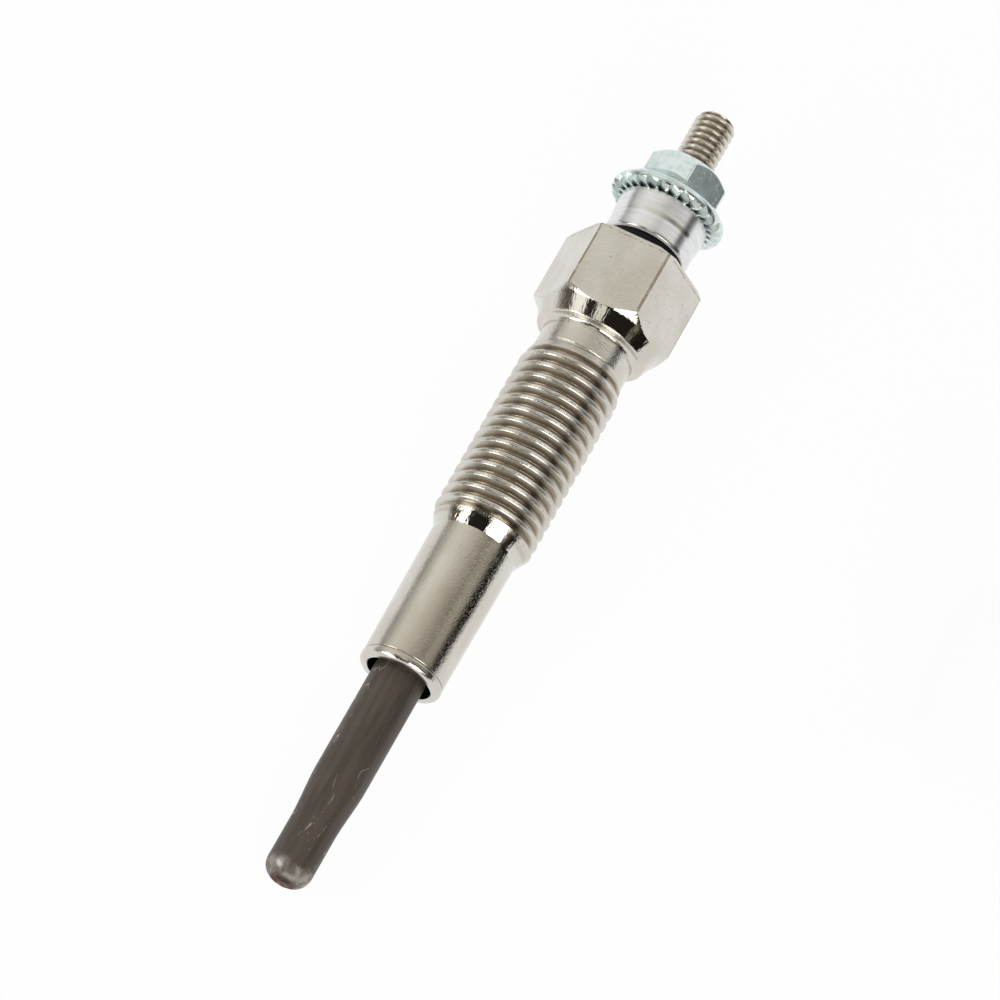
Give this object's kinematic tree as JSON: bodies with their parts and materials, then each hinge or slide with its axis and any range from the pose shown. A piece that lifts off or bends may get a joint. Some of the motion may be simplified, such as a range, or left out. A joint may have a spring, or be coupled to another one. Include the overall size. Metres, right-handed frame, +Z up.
{
  "type": "diesel glow plug",
  "caption": "Sheathed diesel glow plug with a threaded shell, slim heater tip, insulated terminal stud and serrated flange nut, lying on its hexagon.",
  "frame": {"origin": "on the floor under the middle of the plug's length, as it lies at rest", "axes": "+X along the plug towards its terminal stud, rising 2.57 degrees; +Y across; +Z up, with one flat of the hexagon down"},
  "size_m": [0.0863, 0.0138, 0.0123],
  "materials": {
    "shell_nickel": "nickel plated, fine grain",
    "sheath_alloy": "oxidised, satin",
    "heating_wire": "drawn wire",
    "regulating_wire": "drawn wire",
    "magnesia": "packed powder",
    "rod_steel": "nickel plated",
    "seal_rubber": "matt",
    "ring_rubber": "matt",
    "bush_plastic": "moulded",
    "collar_aluminium": "turned",
    "nut_zinc": "blue zinc plated"
  },
  "bodies": {
    "root": {"shell": "shell_nickel", "sheath": "sheath_alloy", "heating_coil": "heating_wire", "regulating_coil": "regulating_wire", "insulating_powder": "magnesia", "centre_rod": "rod_steel", "sheath_seal": "seal_rubber", "o_ring": "ring_rubber", "insulating_bush": "bush_plastic", "terminal_collar": "collar_aluminium", "terminal_nut": "nut_zinc"}
  },
  "joints": []
}
